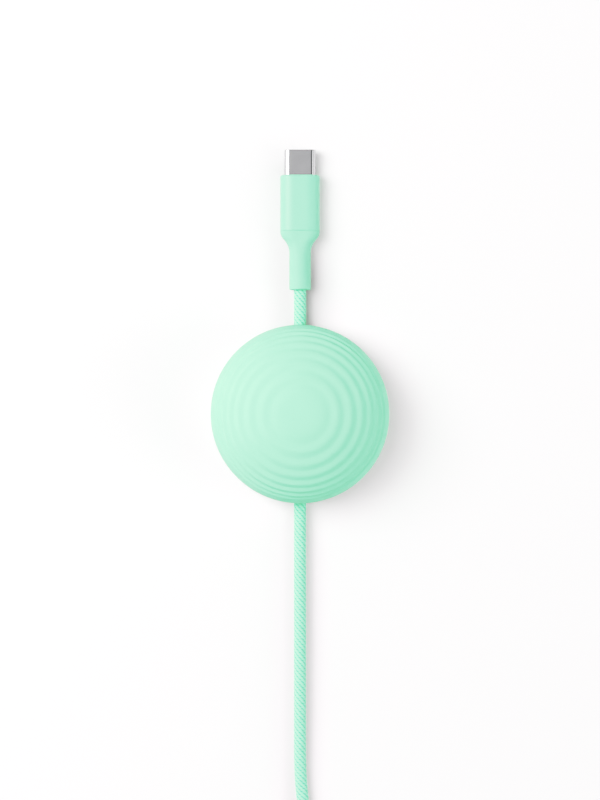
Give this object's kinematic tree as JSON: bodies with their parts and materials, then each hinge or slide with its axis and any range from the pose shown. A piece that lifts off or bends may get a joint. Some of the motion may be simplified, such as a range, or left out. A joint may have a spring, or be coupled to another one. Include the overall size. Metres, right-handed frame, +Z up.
{
  "type": "usb-c cable with a weighted desk anchor",
  "caption": "Braided charging cable with a small reversible plug on each end and a rippled, weighted dome that slides along the cord and keeps it on a desk.",
  "frame": {"origin": "middle of the dome's foot, on the surface that the cable lies on", "axes": "+Z up, +Y along the cord towards the device plug, +X to the right of it"},
  "size_m": [0.0526, 0.281, 0.0254],
  "materials": {
    "mint_skin": "soft matt moulded skin",
    "mint_shell": "fine matt moulding",
    "mint_boot": "soft matt moulding",
    "mint_braid": "diagonal braid",
    "tie_strap": "woven strap",
    "steel_mouth": "polished drawn steel",
    "spring_steel": "stamped strip",
    "contact_gold": "gold flashed",
    "carrier_black": "moulded insert",
    "board_green": "solder mask",
    "wire_sheath": "insulated wire",
    "cast_weight": "as cast",
    "plate_grey": "moulded plate",
    "screw_steel": "plain",
    "pad_rubber": "fine matt"
  },
  "bodies": {
    "cable": {"cord": "mint_braid", "cord_coil": "mint_braid", "cord_tail": "mint_braid", "coil_tie": "tie_strap", "device_plug_shell": "steel_mouth", "device_contact_carrier": "carrier_black", "device_upper_contacts": "contact_gold", "device_lower_contacts": "contact_gold", "device_latch_springs": "spring_steel", "device_paddle_board": "board_green", "device_conductors": "wire_sheath", "device_cord_crimp": "spring_steel", "device_plug_housing": "mint_shell", "device_strain_relief": "mint_boot", "charger_plug_shell": "steel_mouth", "charger_contact_carrier": "carrier_black", "charger_upper_contacts": "contact_gold", "charger_lower_contacts": "contact_gold", "charger_latch_springs": "spring_steel", "charger_paddle_board": "board_green", "charger_conductors": "wire_sheath", "charger_cord_crimp": "spring_steel", "charger_plug_housing": "mint_shell", "charger_strain_relief": "mint_boot"},
    "dome": {"dome_skin": "mint_skin", "dome_weight": "cast_weight", "foot_plate": "plate_grey", "foot_screws": "screw_steel", "foot_pad": "pad_rubber"}
  },
  "joints": [
    {"name": "dome_slide", "type": "slide", "parent": "cable", "child": "dome", "axis": [0, 1, 0], "range_m": [-0.044, 0.0089]}
  ]
}
